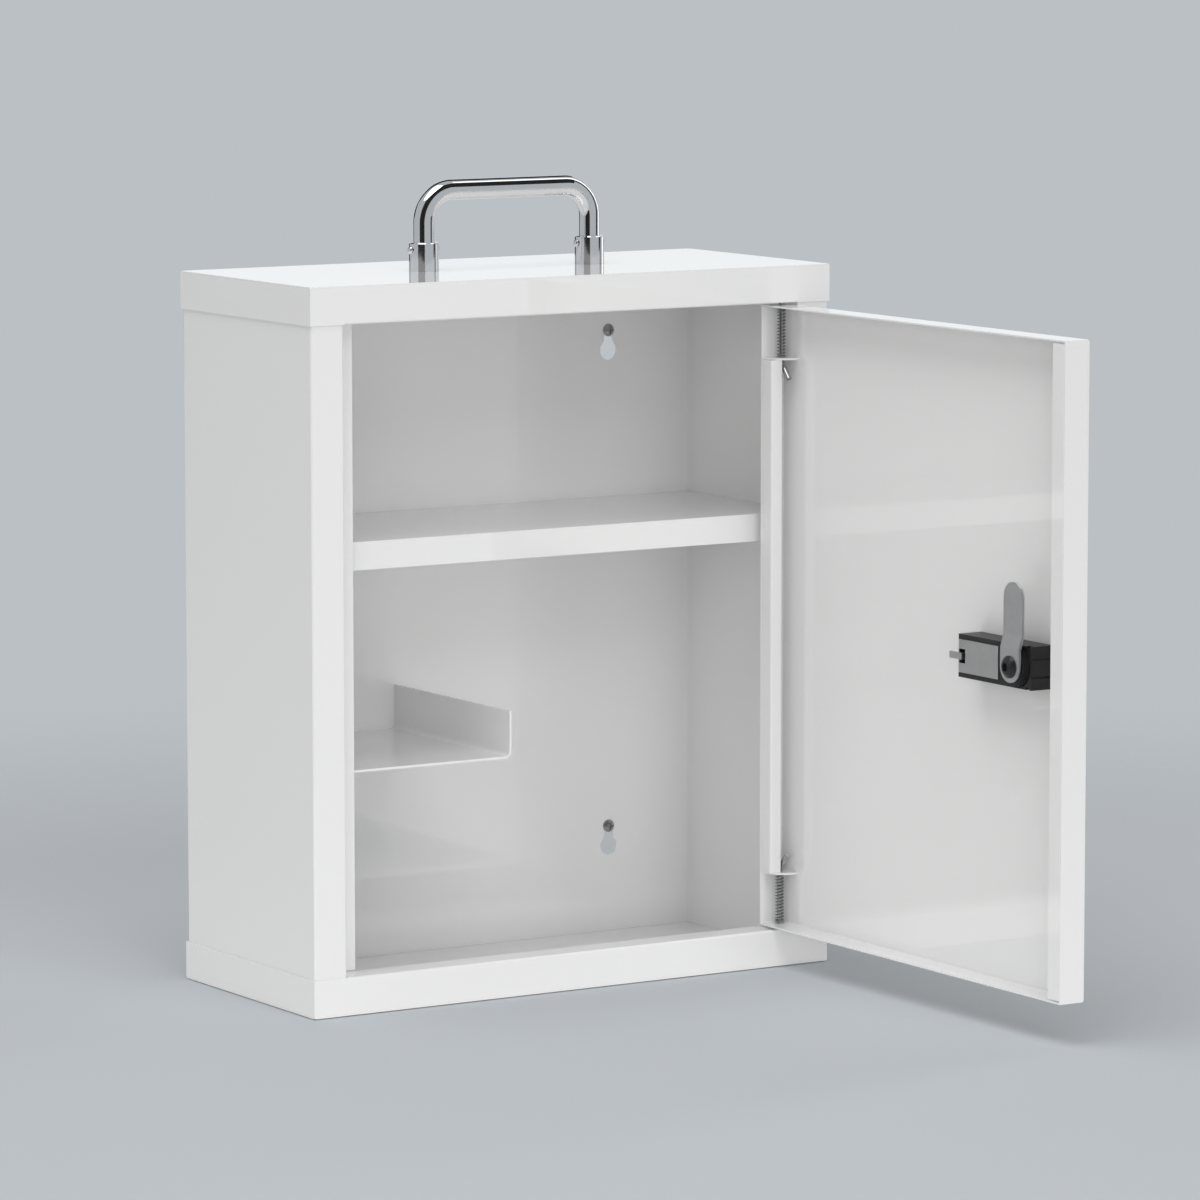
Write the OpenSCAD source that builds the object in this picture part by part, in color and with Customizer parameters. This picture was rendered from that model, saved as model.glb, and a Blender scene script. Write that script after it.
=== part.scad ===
// Lockable wall cabinet for medicines: folded sheet-steel case, inset pan door that
// opens to the right, combination cam lock, folding carry handle on the top.
// Millimetres. Origin: centre of the bottom face. X right, Y back, Z up.
// The door is drawn in its closed place and then turned open about its hinge pins.

/* [Case] */
// Width of the case over its caps
case_w = 320; // [300:1:360]
// Depth of the case over its caps
case_d = 140; // [130:1:180]
// Height of the case
case_h = 380; // [370:1:460]
// Thickness of the folded steel sheet
sheet_t = 0.8; // [0.7:0.05:1]
// Inside radius of the sheet's bends
bend_r = 0.4; // [0.3:0.1:0.6]
// Height of the top and bottom caps' rims
cap_h = 20; // [16:0.5:26]
// How far the front rims of the caps turn back inside
rail_return = 15.4; // [14.8:0.1:16.4]
// Width of the two front stiles
stile_w = 20; // [18:0.5:24]
// Width of the strip that the closed door rests against
stop_lip_w = 13.4; // [12:0.2:15]
// Gap between the ends of that strip and the caps' rims
stop_lip_gap = 0.6; // [0.4:0.1:6]

/* [Wall hooks] */
// Sideways distance between the keyholes
keyhole_spacing_x = 212.4; // [180:0.2:240]
// Height distance between the keyholes
keyhole_spacing_z = 277; // [250:1:300]
// Height of the lower keyholes' slots
keyhole_low_z = 60; // [50:1:80]
// Radius of a keyhole's wide end
keyhole_r = 5.3; // [5:0.1:6]
// Radius of a keyhole's slot
keyhole_slot_r = 2.6; // [2.4:0.1:3]
// Distance from the wide end's centre to the slot's centre
keyhole_drop = 11.1; // [9:0.1:14]
// Radius of a wall screw's shank
wall_screw_r = 2; // [1.5:0.1:2.2]
// Radius of a wall screw's head
wall_screw_head_r = 3.5; // [3.2:0.1:4.5]
// Length of a wall screw under its head
wall_screw_len = 26; // [20:1:40]

/* [Shelf and tray] */
// Height of the shelf's upper face
shelf_z = 244.8; // [236:0.2:260]
// Height of the shelf's front lip
shelf_lip = 14.8; // [10:0.2:20]
// Height of the shelf's side and rear edges
shelf_edge = 12; // [8:0.5:16]
// Distance from the case's front to the shelf
shelf_setback = 20; // [19.5:0.5:30]
// Height of the tray's underside
tray_z = 124.4; // [110:0.2:140]
// Width of the tray from the left wall
tray_w = 128.3; // [100:0.5:180]
// Height of the tray's sides
tray_side = 25.3; // [15:0.1:40]
// Thickness of the tray's sheet
tray_t = 1.2; // [1:0.1:1.5]
// Inside radius of the tray's bends
tray_bend_r = 2.7; // [1:0.1:4]
// Distance from the case's front to the tray
tray_setback = 17; // [16.8:0.2:30]

/* [Door] */
// Depth of the door pan
door_t = 15; // [14.5:0.1:15.2]
// Gap between the closed door and the left stile
door_gap_free = 3.3; // [2:0.1:5]
// Gap between the closed door and the right stile
door_gap_hinge = 0.7; // [0.5:0.1:1]
// Gap over and under the door
door_gap_z = 1.4; // [1:0.1:2]
// How far the door's face lies behind the caps' front
door_recess = 0.5; // [0.2:0.1:0.6]
// Width of the lip along the free edge
free_lip_w = 10.4; // [8:0.2:14]
// Gap between that lip's ends and the pan's top and bottom
free_lip_gap = 1; // [0.5:0.1:2]
// Width of the lip along the hinge edge
hinge_lip_w = 10.5; // [9.6:0.1:12]
// Depth of the fold at the end of that lip
hinge_fold = 6.6; // [4:0.1:6.6]
// How far the door stands open at rest
rest_open = 90; // [0:1:95]

/* [Hinge] */
// Radius of the hinge pins
pin_r = 1.5; // [1.3:0.05:1.6]
// Distance from the door's face and from its edge to the pins
pin_inset = 6; // [5.8:0.1:6.4]
// Distance from the door's ends to the gusset plates
gusset_inset = 28.3; // [26:0.1:34]
// Thickness of the gusset plates
gusset_t = 1; // [0.8:0.1:1.5]
// Radius of the gusset plates
gusset_r = 14; // [12:0.1:14]
// How far a pin reaches past the face of the rim
pin_reach = 5; // [3:0.5:8]
// Angle of the pin's bent end
pin_bend = 40; // [20:5:60]
// Length of the pin's bent end
pin_lever = 11; // [6:0.5:11]
// Radius of the collar that the spring pushes
collar_r = 2.6; // [2.4:0.1:3]
// Thickness of that collar
collar_t = 1; // [0.8:0.1:1.5]
// Radius of the spring's wire
wire_r = 0.3; // [0.25:0.05:0.35]
// Radius of the spring at the middle of its wire
spring_r = 2.1; // [2.1:0.02:2.3]
// Turns of the spring
spring_turns = 13; // [8:1:13]

/* [Lock] */
// Sideways place of the lock's axis when the door is closed
lock_x = -97.6; // [-100:0.1:-94]
// Height of the lock's axis
lock_z = 190; // [180:1:195]
// Distance from the lock's axis to the wheels' end of the housing
block_gap = 15.1; // [13:0.1:16]
// Length of the housing's end that holds the wheels
block_len = 36.4; // [36.2:0.2:38]
// How far the housing runs on past the lock's axis
house_end = 12.3; // [11.8:0.1:14]
// Height of the housing
block_h = 22.4; // [21.6:0.2:24]
// Depth of the housing
block_depth = 14.2; // [14.2:0.1:15]
// Wall of the lock's housing
housing_wall = 1.2; // [1:0.1:1.3]
// Radius of the number wheels
wheel_r = 9; // [8.8:0.05:9.05]
// Width of a number wheel
wheel_w = 5.6; // [5:0.1:5.8]
// Distance from wheel to wheel
wheel_pitch = 7; // [6.6:0.1:7]
// Number of wheels
wheel_count = 4; // [3:1:4]
// Radius of the wheels' shaft
shaft_r = 1.5; // [1.2:0.1:2]
// Thickness of the front plate
bezel_t = 2.6; // [2:0.1:3]
// Height of the front plate
bezel_h = 28; // [26:0.5:34]
// Radius of the lock's barrel
barrel_r = 9; // [8:0.1:9.5]
// Radius of the turning spindle
spindle_r = 6; // [5:0.1:6.5]
// Radius of the ring nut
nut_r = 10.6; // [10.3:0.1:10.6]
// Radius of the knob
knob_r = 9.5; // [8.5:0.1:10]
// Length of the knob
knob_len = 11; // [8:0.5:16]
// Width of the cam
cam_w = 16; // [14:0.2:18]
// Reach of the cam from its axis
cam_reach = 43.4; // [40:0.2:46]
// Thickness of the cam
cam_t = 1.6; // [1.4:0.1:1.6]
// How far the cam's end steps towards the door
cam_step = 2; // [1:0.1:2]
// Radius of the cam screw's head
cam_screw_r = 5.8; // [5:0.1:6.5]
// Travel of the reset tab
reset_travel = 1.5; // [1:0.1:1.6]

/* [Handle] */
// Distance between the handle's legs
handle_span = 103; // [80:1:120]
// Height of the handle over the case
handle_h = 48; // [40:1:60]
// Radius of the handle's rod
rod_r = 5.6; // [5:0.1:5.8]
// Radius of the rod's bends at its middle line
rod_bend_r = 16.5; // [12:0.5:22]
// Radius of the posts
post_r = 7.95; // [7.8:0.05:9]
// Height of the posts
post_h = 15.2; // [14.8:0.1:20]
// Height of the cross pins over the case
pivot_h = 11.2; // [11.1:0.1:12]
// Radius of the cross pins
cross_pin_r = 1.5; // [1.2:0.1:1.8]
// Radius of the handle screws' shanks
handle_screw_r = 2; // [1.5:0.1:2.2]

/* [Fits] */
// Clearance where sheet lies against sheet
fit_gap = 0.05; // [0.03:0.01:0.1]
// Radial clearance of a pin that turns or slides
run_gap = 0.06; // [0.04:0.01:0.1]
// Clearance between moving pieces that don't bear on each other
free_gap = 0.2; // [0.15:0.05:0.3]

/* [Hidden] */

$fn = 48;
eps = 0.01;
bend_steps = 5;

// Sheet centre lines
half_t = sheet_t / 2;
mid_bend = bend_r + half_t;
cap_x = case_w / 2;
cap_y = case_d / 2;
wrap_x = cap_x - sheet_t - fit_gap;
wrap_y = cap_y - sheet_t - fit_gap;
wrap_z0 = sheet_t + fit_gap;
wrap_z1 = case_h - wrap_z0;
inner_x = wrap_x - sheet_t;
inner_y = wrap_y - sheet_t;
opening_x = cap_x - stile_w;

// Door, closed
door_x0 = -opening_x + door_gap_free;
door_x1 = opening_x - door_gap_hinge;
door_y = -cap_y + door_recess;
door_in = door_y + door_t;
door_z0 = cap_h + door_gap_z;
door_z1 = case_h - door_z0;
pin_x = door_x1 - pin_inset;
pin_y = door_y + pin_inset;
stop_lip_y = door_in + free_gap + 0.1;

// Hinge
gusset_face = door_z0 + gusset_inset;
pin_tip = cap_h - sheet_t - pin_reach;
pin_bend_r = 2.4;
pin_bend_z = gusset_face + gusset_t + free_gap;
collar_z = door_z0 + sheet_t + free_gap;
spring_z0 = collar_z + collar_t + fit_gap;
spring_z1 = gusset_face - fit_gap;
spring_lead = 2 * wire_r;
pin_hole_r = pin_r + run_gap;

// Lock, closed: depth is measured back from the door's face
house_x0 = lock_x - house_end;
block_x0 = lock_x + block_gap;
block_x1 = block_x0 + block_len;
block_face = sheet_t + block_depth;
nut_seat = 1;
wheel_depth = 5.5;
wheel_x1 = block_x1 - 7.6;
wheel_bore_r = shaft_r + run_gap;
cavity_h = block_h - 2 * housing_wall;
plate_t = 0.6;
plate_h = 17.2;
plate_edge = 0.8;
end_wall = 1;
window_h = plate_h - 2 * plate_edge;
notch_w = 5.2;
notch_h = 7.4;
tab_h = 3.6;
tab_t = 1.2;
tab_out = 5.6;
barrel_end = 17.9;
cam_base = barrel_end + 0.5;
spindle_square = 8;
cam_step_z = 9;
cam_step_len = 7;
cam_screw_h = 2.6;

// Handle
pivot_z = case_h + pivot_h;
rod_z = case_h + handle_h - rod_r;
socket_gap = 0.3;
socket_r = rod_r + socket_gap;
socket_floor = pivot_z - rod_r - socket_gap;
cross_head_r = 1.95;
cross_head_h = 1.6;
cross_nub = 0.7;
washer_t = 1;
washer_r = 5;
handle_head_r = 3.8;
handle_head_h = 2.6;
handle_screw_top = socket_floor - 1.3;

// Colours
white = [0.93, 0.93, 0.92];
satin = [0.72, 0.73, 0.75];
bright = [0.82, 0.83, 0.85];
dark_steel = [0.35, 0.35, 0.37];
grey_steel = [0.6, 0.6, 0.61];
black = [0.12, 0.12, 0.13];

// ---- folded sheet --------------------------------------------------------

function unit(v) = v / norm(v);
function left_of(v) = [-v.y, v.x];
function turned(v, a) = [v.x * cos(a) - v.y * sin(a), v.x * sin(a) + v.y * cos(a)];

// Points and directions round the bend at b, between a and c
function bend_points(a, b, c, r) =
    let (u = unit(b - a), v = unit(c - b))
    let (side = cross(u, v) > 0 ? 1 : -1, angle = acos(u * v))
    let (centre = b - u * r * tan(angle / 2) + side * r * left_of(u))
    [for (i = [0:bend_steps])
        let (a = side * angle * i / bend_steps)
        [centre - side * r * left_of(turned(u, a)), turned(u, a)]];

// The sheet's middle line: its two ends, and a bend at each point between
function sheet_line(p, r) =
    let (last = len(p) - 1)
    concat(
        [[p[0], unit(p[1] - p[0])]],
        [for (i = [1:last - 1]) each bend_points(p[i - 1], p[i], p[i + 1], r)],
        [[p[last], unit(p[last] - p[last - 1])]]
    );

// Outline of a sheet of thickness t whose middle line runs through p
module sheet_outline(p, t = sheet_t, r = mid_bend) {
    line = sheet_line(p, r);
    last = len(line) - 1;
    near = [for (q = line) q[0] + left_of(q[1]) * t / 2];
    far = [for (i = [last:-1:0]) line[i][0] - left_of(line[i][1]) * t / 2];
    polygon(concat(near, far));
}

// A sheet folded in plan and standing from z0 to z1
module fold_upright(p, z0, z1, t = sheet_t, r = mid_bend) {
    translate([0, 0, z0])
        linear_extrude(z1 - z0)
            sheet_outline(p, t, r);
}

// A sheet folded in side view (points are y, z) and running from x0 to x1
module fold_along_x(p, x0, x1, t = sheet_t, r = mid_bend) {
    translate([x0, 0, 0])
        rotate([90, 0, 90])
            linear_extrude(x1 - x0)
                sheet_outline(p, t, r);
}

// A sheet folded in front view (points are x, z) and running from y0 to y1
module fold_along_y(p, y0, y1, t = sheet_t, r = mid_bend) {
    translate([0, y1, 0])
        rotate([90, 0, 0])
            linear_extrude(y1 - y0)
                sheet_outline(p, t, r);
}

module block(low, high) {
    translate(low)
        cube(high - low);
}

// A round bar along Y from y0 to y1
module bar_y(r, x, z, y0, y1) {
    translate([x, y0, z])
        rotate([-90, 0, 0])
            cylinder(r = r, h = y1 - y0);
}

// A round bar along X from x0 to x1
module bar_x(r, x0, x1, y, z) {
    translate([x0, y, z])
        rotate([0, 90, 0])
            cylinder(r = r, h = x1 - x0);
}

// Puts what belongs to the door in its place at rest
module on_door() {
    translate([pin_x, pin_y, 0])
        rotate([0, 0, rest_open])
            translate([-pin_x, -pin_y, 0])
                children();
}

// Turns the lower end's pieces over to the upper end
module at_top() {
    translate([0, 0, case_h])
        mirror([0, 0, 1])
            children();
}

// ---- case ----------------------------------------------------------------

keyhole_xs = [-keyhole_spacing_x / 2, keyhole_spacing_x / 2];
keyhole_zs = [keyhole_low_z, keyhole_low_z + keyhole_spacing_z];

module keyhole(x, slot_z) {
    y0 = inner_y - 1;
    y1 = wrap_y + 1;
    wide_z = slot_z - keyhole_drop;
    bar_y(keyhole_r, x, wide_z, y0, y1);
    bar_y(keyhole_slot_r, x, slot_z, y0, y1);
    translate([x, y1, wide_z])
        rotate([90, 0, 0])
            linear_extrude(y1 - y0)
                polygon([
                    [-keyhole_slot_r - 0.8, keyhole_r * 0.75], [-keyhole_slot_r, keyhole_r + 1.2],
                    [-keyhole_slot_r, keyhole_drop], [keyhole_slot_r, keyhole_drop],
                    [keyhole_slot_r, keyhole_r + 1.2], [keyhole_slot_r + 0.8, keyhole_r * 0.75],
                ]);
}

module case_wrap() {
    side = wrap_x - half_t;
    back = wrap_y - half_t;
    inner_edge = -opening_x - half_t;
    lip_mid = stop_lip_y + half_t;
    color(white)
        difference() {
            fold_upright([
                [-opening_x + stop_lip_w, lip_mid], [inner_edge, lip_mid], [inner_edge, -back],
                [-side, -back], [-side, back], [side, back], [side, -back], [opening_x, -back],
            ], wrap_z0, wrap_z1);
            for (z = [[0, cap_h + stop_lip_gap], [case_h - cap_h - stop_lip_gap, case_h]])
                block([-opening_x - 1.5 * sheet_t, -wrap_y + 1.5 * sheet_t, z[0]],
                      [-opening_x + stop_lip_w + 1, stop_lip_y + 2 * sheet_t, z[1]]);
            for (x = keyhole_xs)
                for (z = keyhole_zs)
                    keyhole(x, z);
        }
}

// The lower cap; the upper one is the same, turned over
module cap_shell() {
    x = cap_x - half_t;
    y = cap_y - half_t;
    rail_x = opening_x - free_gap;
    middle = [0, half_t];
    rail_back = -cap_y + rail_return;
    difference() {
        union() {
            difference() {
                fold_along_x([middle, [-y, half_t], [-y, cap_h]], -cap_x, cap_x);
                block([-rail_x, -cap_y - 1, cap_h - bend_r - sheet_t],
                      [rail_x, -cap_y + 2 * sheet_t, cap_h + 1]);
            }
            fold_along_x([middle, [y, half_t], [y, cap_h]], -cap_x, cap_x);
            fold_along_y([middle, [-x, half_t], [-x, cap_h]], -cap_y, cap_y);
            fold_along_y([middle, [x, half_t], [x, cap_h]], -cap_y, cap_y);
            fold_along_x([[-y, cap_h / 2], [-y, cap_h - half_t], [rail_back, cap_h - half_t]],
                         -rail_x, rail_x);
        }
        translate([pin_x, pin_y, cap_h - 2 * sheet_t])
            cylinder(r = pin_hole_r, h = 3 * sheet_t);
    }
}

module bottom_cap() {
    color(white)
        cap_shell();
}

module top_cap() {
    color(white)
        difference() {
            at_top()
                cap_shell();
            for (side = [-1, 1])
                translate([side * handle_span / 2, 0, case_h - 2 * sheet_t])
                    cylinder(r = handle_screw_r + free_gap, h = 3 * sheet_t);
        }
}

module shelf() {
    x = inner_x - fit_gap - half_t;
    y0 = -cap_y + shelf_setback + half_t;
    y1 = inner_y - fit_gap - half_t;
    z = shelf_z - half_t;
    middle = [0, z];
    color(white)
        union() {
            fold_along_x([middle, [y0, z], [y0, shelf_z - shelf_lip]], -x - half_t, x + half_t);
            fold_along_x([middle, [y1, z], [y1, shelf_z - shelf_edge]], -x - half_t, x + half_t);
            fold_along_y([middle, [-x, z], [-x, shelf_z - shelf_edge]], y0 - half_t, y1 + half_t);
            fold_along_y([middle, [x, z], [x, shelf_z - shelf_edge]], y0 - half_t, y1 + half_t);
        }
}

module side_tray() {
    x0 = -inner_x + fit_gap + tray_t / 2;
    x1 = -inner_x + tray_w - tray_t / 2;
    z0 = tray_z + tray_t / 2;
    z1 = tray_z + tray_side;
    color(white)
        fold_along_y([[x0, z1], [x0, z0], [x1, z0], [x1, z1]],
                     -cap_y + tray_setback, inner_y - fit_gap, tray_t, tray_bend_r + tray_t / 2);
}

module wall_screws() {
    dome = 2.2;
    neck = 1.2;
    tip = 5;
    color(dark_steel)
        for (x = keyhole_xs)
            for (z = keyhole_zs)
                translate([x, inner_y - fit_gap, z])
                    rotate([-90, 0, 0])
                        difference() {
                            union() {
                                intersection() {
                                    translate([0, 0, -dome])
                                        cylinder(r = wall_screw_head_r, h = dome);
                                    translate([0, 0, 1.6])
                                        sphere(r = dome + 1.6 + 0.3);
                                }
                                cylinder(r = wall_screw_r + 0.2, h = neck);
                                cylinder(r = wall_screw_r, h = wall_screw_len - tip);
                                translate([0, 0, wall_screw_len - tip])
                                    cylinder(r1 = wall_screw_r, r2 = 0.2, h = tip);
                            }
                            for (a = [0, 90])
                                rotate([0, 0, a])
                                    block([-2, -0.45, -dome - 1], [2, 0.45, -dome + 1]);
                        }
}

// ---- handle --------------------------------------------------------------

// One post on the top, open above and behind so that the leg can fold back
module handle_post(x) {
    rim = 0.5;
    color(satin)
        translate([x, 0, 0])
            difference() {
                union() {
                    translate([0, 0, case_h])
                        cylinder(r = post_r, h = post_h - rim);
                    translate([0, 0, case_h + post_h - rim])
                        cylinder(r1 = post_r, r2 = post_r - rim, h = rim);
                }
                translate([0, 0, socket_floor])
                    cylinder(r = socket_r, h = post_h);
                block([-socket_r, 0, socket_floor], [socket_r, post_r + 1, case_h + post_h + 1]);
                bar_x(cross_pin_r + 0.03, -post_r - 1, post_r + 1, 0, pivot_z);
                translate([0, 0, case_h - 1])
                    cylinder(r = handle_screw_r + fit_gap, h = handle_screw_top - case_h + 1.2);
            }
}

module handle_post_left() {
    handle_post(-handle_span / 2);
}

module handle_post_right() {
    handle_post(handle_span / 2);
}

module handle_pins() {
    color(bright)
        for (side = [-1, 1])
            translate([side * handle_span / 2, 0, pivot_z]) {
                bar_x(cross_pin_r, -post_r - fit_gap, post_r + cross_nub, 0, 0);
                intersection() {
                    bar_x(cross_head_r, -post_r - cross_head_h, -post_r - fit_gap, 0, 0);
                    translate([-post_r + 0.7, 0, 0])
                        sphere(r = cross_head_h + 0.9);
                }
            }
}

module handle_washers() {
    color(satin)
        for (side = [-1, 1])
            translate([side * handle_span / 2, 0, case_h - sheet_t - fit_gap - washer_t])
                difference() {
                    cylinder(r = washer_r, h = washer_t);
                    translate([0, 0, -1])
                        cylinder(r = handle_screw_r + free_gap, h = washer_t + 2);
                }
}

module handle_screws() {
    head_top = case_h - sheet_t - washer_t - 2 * fit_gap;
    color(satin)
        for (side = [-1, 1])
            translate([side * handle_span / 2, 0, 0])
                difference() {
                    union() {
                        translate([0, 0, head_top - handle_head_h])
                            cylinder(r = handle_head_r, h = handle_head_h);
                        translate([0, 0, head_top - eps])
                            cylinder(r = handle_screw_r, h = handle_screw_top - head_top);
                    }
                    translate([0, 0, head_top - handle_head_h - 1])
                        cylinder(r = 1.7, h = 2.4, $fn = 6);
                }
}

// A quarter of a ring in the XZ plane, for the rod's bends
module rod_bend(x, z, start) {
    translate([x, 0, z])
        rotate([90, 0, 0])
            rotate([0, 0, start])
                rotate_extrude(angle = 90)
                    translate([rod_bend_r, 0])
                        circle(r = rod_r);
}

module handle_rod() {
    leg = handle_span / 2;
    bend_x = leg - rod_bend_r;
    bend_z = rod_z - rod_bend_r;
    color(bright)
        difference() {
            union() {
                for (side = [-1, 1])
                    translate([side * leg, 0, pivot_z]) {
                        sphere(r = rod_r);
                        cylinder(r = rod_r, h = bend_z - pivot_z);
                    }
                rod_bend(bend_x, bend_z, 0);
                rod_bend(-bend_x, bend_z, 90);
                bar_x(rod_r, -bend_x, bend_x, 0, rod_z);
            }
            for (side = [-1, 1])
                bar_x(cross_pin_r + run_gap, side * leg - rod_r - 1, side * leg + rod_r + 1, 0, pivot_z);
        }
}

// ---- door ----------------------------------------------------------------

module door_panel() {
    y = door_y + half_t;
    inner = door_in - half_t;
    x0 = door_x0 + half_t;
    x1 = door_x1 - half_t;
    mid_x = (door_x0 + door_x1) / 2;
    mid_z = (door_z0 + door_z1) / 2;
    lip_z0 = door_z0 + sheet_t + free_lip_gap;
    fold_x = door_x1 - hinge_lip_w + half_t;
    fold_z0 = gusset_face + gusset_t + fit_gap;
    skin_cut = [door_y - 1, door_y + sheet_t + 1];
    color(white)
        on_door()
            difference() {
                union() {
                    fold_upright([[mid_x, y], [x0, y], [x0, door_in]], door_z0, door_z1);
                    fold_upright([[mid_x, y], [x1, y], [x1, door_in]], door_z0, door_z1);
                    fold_along_x([[y, mid_z], [y, door_z0 + half_t], [door_in, door_z0 + half_t]],
                                 door_x0, door_x1);
                    fold_along_x([[y, mid_z], [y, door_z1 - half_t], [door_in, door_z1 - half_t]],
                                 door_x0, door_x1);
                    fold_upright([[x0, y + 2], [x0, inner], [door_x0 + free_lip_w, inner]],
                                 lip_z0, case_h - lip_z0);
                    fold_upright([[x1, y + 2], [x1, inner], [fold_x, inner], [fold_x, door_in - hinge_fold]],
                                 fold_z0, case_h - fold_z0);
                }
                for (z = [door_z0 - 1, door_z1 - sheet_t - 1])
                    translate([pin_x, pin_y, z])
                        cylinder(r = pin_hole_r, h = sheet_t + 2);
                bar_y(barrel_r + free_gap, lock_x, lock_z, skin_cut[0], skin_cut[1]);
                block([wheel_x1 - wheel_pitch * wheel_count + 0.5, skin_cut[0], lock_z - cavity_h / 2 + 1],
                      [wheel_x1 + 0.5, skin_cut[1], lock_z + cavity_h / 2 - 1]);
            }
}

// The lower gusset: a quarter disc in the corner of skin and hinge edge
module gusset() {
    corner = [door_x1 - sheet_t - fit_gap, door_y + sheet_t + fit_gap];
    color(white)
        on_door()
            difference() {
                translate([corner.x, corner.y, gusset_face])
                    linear_extrude(gusset_t)
                        intersection() {
                            circle(r = gusset_r);
                            translate([-gusset_r, 0])
                                square(gusset_r);
                        }
                translate([pin_x, pin_y, gusset_face - 1])
                    cylinder(r = pin_hole_r, h = gusset_t + 2);
            }
}

module gusset_lower() {
    gusset();
}

module gusset_upper() {
    at_top()
        gusset();
}

// The lower hinge pin: a straight rod through rim, pan and gusset, then a bent end
module hinge_pin() {
    nose = 0.8;
    color(satin)
        on_door()
            translate([pin_x, pin_y, 0]) {
                translate([0, 0, pin_tip])
                    cylinder(r1 = pin_r - nose, r2 = pin_r, h = nose);
                translate([0, 0, pin_tip + nose])
                    cylinder(r = pin_r, h = pin_bend_z - pin_tip - nose);
                translate([-pin_bend_r, 0, pin_bend_z])
                    rotate([90, 0, 0])
                        rotate_extrude(angle = pin_bend)
                            translate([pin_bend_r, 0])
                                circle(r = pin_r);
                translate([-pin_bend_r, 0, pin_bend_z])
                    rotate([0, -pin_bend, 0])
                        translate([pin_bend_r, 0, 0]) {
                            sphere(r = pin_r);
                            cylinder(r = pin_r, h = pin_lever);
                        }
            }
}

module hinge_pin_lower() {
    hinge_pin();
}

module hinge_pin_upper() {
    at_top()
        hinge_pin();
}

// The lower collar, crimped on the pin between the pan's end and the spring
module pin_collar() {
    color(satin)
        translate([pin_x, pin_y, collar_z])
            difference() {
                cylinder(r = collar_r, h = collar_t);
                translate([0, 0, -1])
                    cylinder(r = pin_r + 0.02, h = collar_t + 2);
            }
}

module pin_collar_lower() {
    pin_collar();
}

module pin_collar_upper() {
    at_top()
        pin_collar();
}

// ---- springs -------------------------------------------------------------

wire_rings = 8;
wire_sides = 6;
helix_z0 = spring_z0 + spring_lead + wire_r;
helix_rise = spring_z1 - spring_z0 - 2 * (spring_lead + wire_r);
helix_steps = spring_turns * wire_rings;

// Middle of the wire: a straight end, the helix, a straight end
function helix_point(i) =
    let (a = 360 * i / wire_rings)
    [spring_r * cos(a), spring_r * sin(a), helix_z0 + helix_rise * i / helix_steps];
wire_path = concat(
    [[spring_r, 0, spring_z0], [spring_r, 0, spring_z0 + spring_lead]],
    [for (i = [1:helix_steps - 1]) helix_point(i)],
    [[spring_r, 0, spring_z1 - spring_lead], [spring_r, 0, spring_z1]]
);
wire_last = len(wire_path) - 1;
function wire_dir(i) =
    i == 0 || i == 1 ? [0, 0, 1]
    : i >= wire_last - 1 ? [0, 0, 1]
    : unit(wire_path[i + 1] - wire_path[i - 1]);

// A ring of the wire: its two axes are the outward one and the one square to both
function wire_ring(i) =
    let (p = wire_path[i], d = wire_dir(i), out = unit([p.x, p.y, 0]))
    let (across = unit(cross(d, out)), up = cross(across, d))
    [for (k = [0:wire_sides - 1])
        let (a = 360 * k / wire_sides)
        p + wire_r * (cos(a) * up + sin(a) * across)];

module spring_wire() {
    rings = wire_last + 1;
    points = [for (i = [0:wire_last]) each wire_ring(i)];
    sides = [
        for (i = [0:rings - 2])
            for (k = [0:wire_sides - 1])
                let (n = (k + 1) % wire_sides, a = i * wire_sides, b = a + wire_sides)
                each [[a + k, b + k, b + n], [a + k, b + n, a + n]]
    ];
    ends = [
        for (k = [1:wire_sides - 2])
            each [[0, k, k + 1], [wire_last * wire_sides, wire_last * wire_sides + k + 1,
                                  wire_last * wire_sides + k]]
    ];
    color(dark_steel)
        polyhedron(points, concat(sides, ends));
}

// Least gap of the wire to itself, over points at least half a turn apart
wire_gap = min([
    for (i = [0:wire_last])
        for (j = [i + wire_rings / 2:1:wire_last])
            norm(wire_path[i] - wire_path[j]) - 2 * wire_r
]);
echo(spring_wire_least_gap = wire_gap);

module spring_lower() {
    translate([pin_x, pin_y, 0])
        spring_wire();
}

module spring_upper() {
    translate([pin_x, pin_y, case_h])
        rotate([180, 0, 0])
            spring_wire();
}

// ---- lock ----------------------------------------------------------------

// Depths below are measured back from the door's face
function depth_y(d) = door_y + d;

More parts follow.
